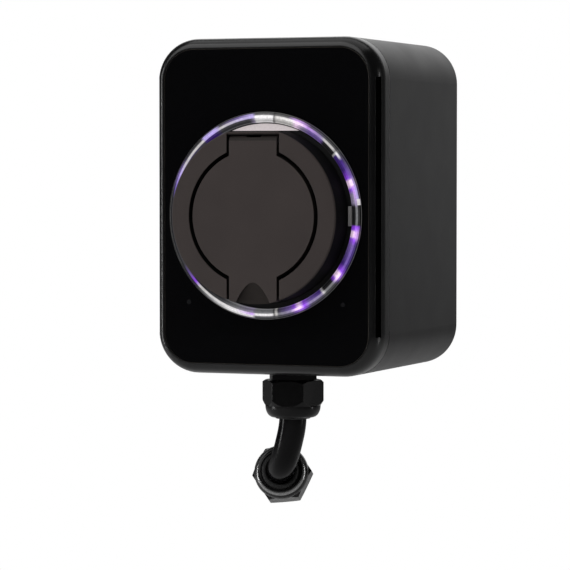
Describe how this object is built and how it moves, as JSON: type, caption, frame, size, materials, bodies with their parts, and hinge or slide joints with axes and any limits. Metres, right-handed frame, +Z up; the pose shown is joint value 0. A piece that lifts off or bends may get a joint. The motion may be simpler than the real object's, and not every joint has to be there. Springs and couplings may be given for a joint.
{
  "type": "ev wallbox",
  "caption": "Wall-mounted charging box with a rounded black case, a glossy front, a hinged socket lid inside a lit ring and a glanded supply cable.",
  "frame": {"origin": "centre of the wall bracket's back face, in the middle of its four screw holes", "axes": "+Y into the wall, +Z up, +X to the right as seen from the front"},
  "size_m": [0.143, 0.1633, 0.2859],
  "materials": {
    "casing_black": "satin fine-grained moulding",
    "bezel_black": "polished moulding",
    "panel_glass": "polished, black behind",
    "ring_clear": "polished clear",
    "carrier_black": "matte",
    "window_white": "translucent white",
    "clip_grey": "satin",
    "collar_charcoal": "matte fine-grained moulding",
    "insert_black": "matte",
    "rubber_black": "matte",
    "screw_steel": "zinc plated",
    "bright_steel": "bright",
    "contact_brass": "silver-plated",
    "bracket_steel": "galvanised",
    "board_green": "solder-mask green",
    "strip_white": "white",
    "led_lit": "lit",
    "chip_black": "matte",
    "relay_blue": "satin",
    "terminal_grey": "satin",
    "lead_sleeve": "satin",
    "gland_nylon": "semi-gloss nylon",
    "cable_sheath": "semi-gloss"
  },
  "bodies": {
    "wallbox": {"rear_housing": "casing_black", "front_cover": "bezel_black", "front_panel": "panel_glass", "light_ring": "ring_clear", "indicator_lenses": "ring_clear", "ring_carrier": "carrier_black", "status_window": "window_white", "ring_clip": "clip_grey", "socket_collar": "collar_charcoal", "socket_insert": "insert_black", "socket_bucket": "insert_black", "lock_actuator": "insert_black", "cover_gasket": "rubber_black", "inlet_gland_washer": "rubber_black", "inlet_gland_seal": "rubber_black", "far_gland_seal": "rubber_black", "cover_screws": "screw_steel", "socket_screws": "screw_steel", "board_screws": "screw_steel", "insert_screws": "screw_steel", "bucket_screws": "screw_steel", "lid_hinge_pin": "bright_steel", "lid_spring": "bright_steel", "contact_sleeves": "contact_brass", "wall_bracket": "bracket_steel", "control_board": "board_green", "led_strip": "strip_white", "leds": "led_lit", "board_parts": "chip_black", "power_relays": "relay_blue", "outlet_terminals": "terminal_grey", "supply_terminals": "terminal_grey", "socket_leads": "lead_sleeve", "supply_cores": "lead_sleeve", "inlet_gland_body": "gland_nylon", "inlet_gland_nut": "gland_nylon", "inlet_gland_locknut": "gland_nylon", "far_gland_body": "gland_nylon", "far_gland_nut": "gland_nylon", "supply_cable": "cable_sheath", "cable_tail": "cable_sheath"},
    "lid": {"socket_lid": "collar_charcoal", "lid_seal": "rubber_black"},
    "lock": {"lock_pin": "bright_steel"}
  },
  "joints": [
    {"name": "lid_hinge", "type": "hinge", "parent": "wallbox", "child": "lid", "pos_m": [0, -0.1593, 0.038], "axis": [-1, 0, 0], "range_deg": [0, 90], "stiffness_Nm_per_rad": 0.05, "springref_deg": -20.05},
    {"name": "lock_slide", "type": "slide", "parent": "wallbox", "child": "lock", "axis": [0, 0, -1], "range_m": [0, 0.0055]}
  ]
}
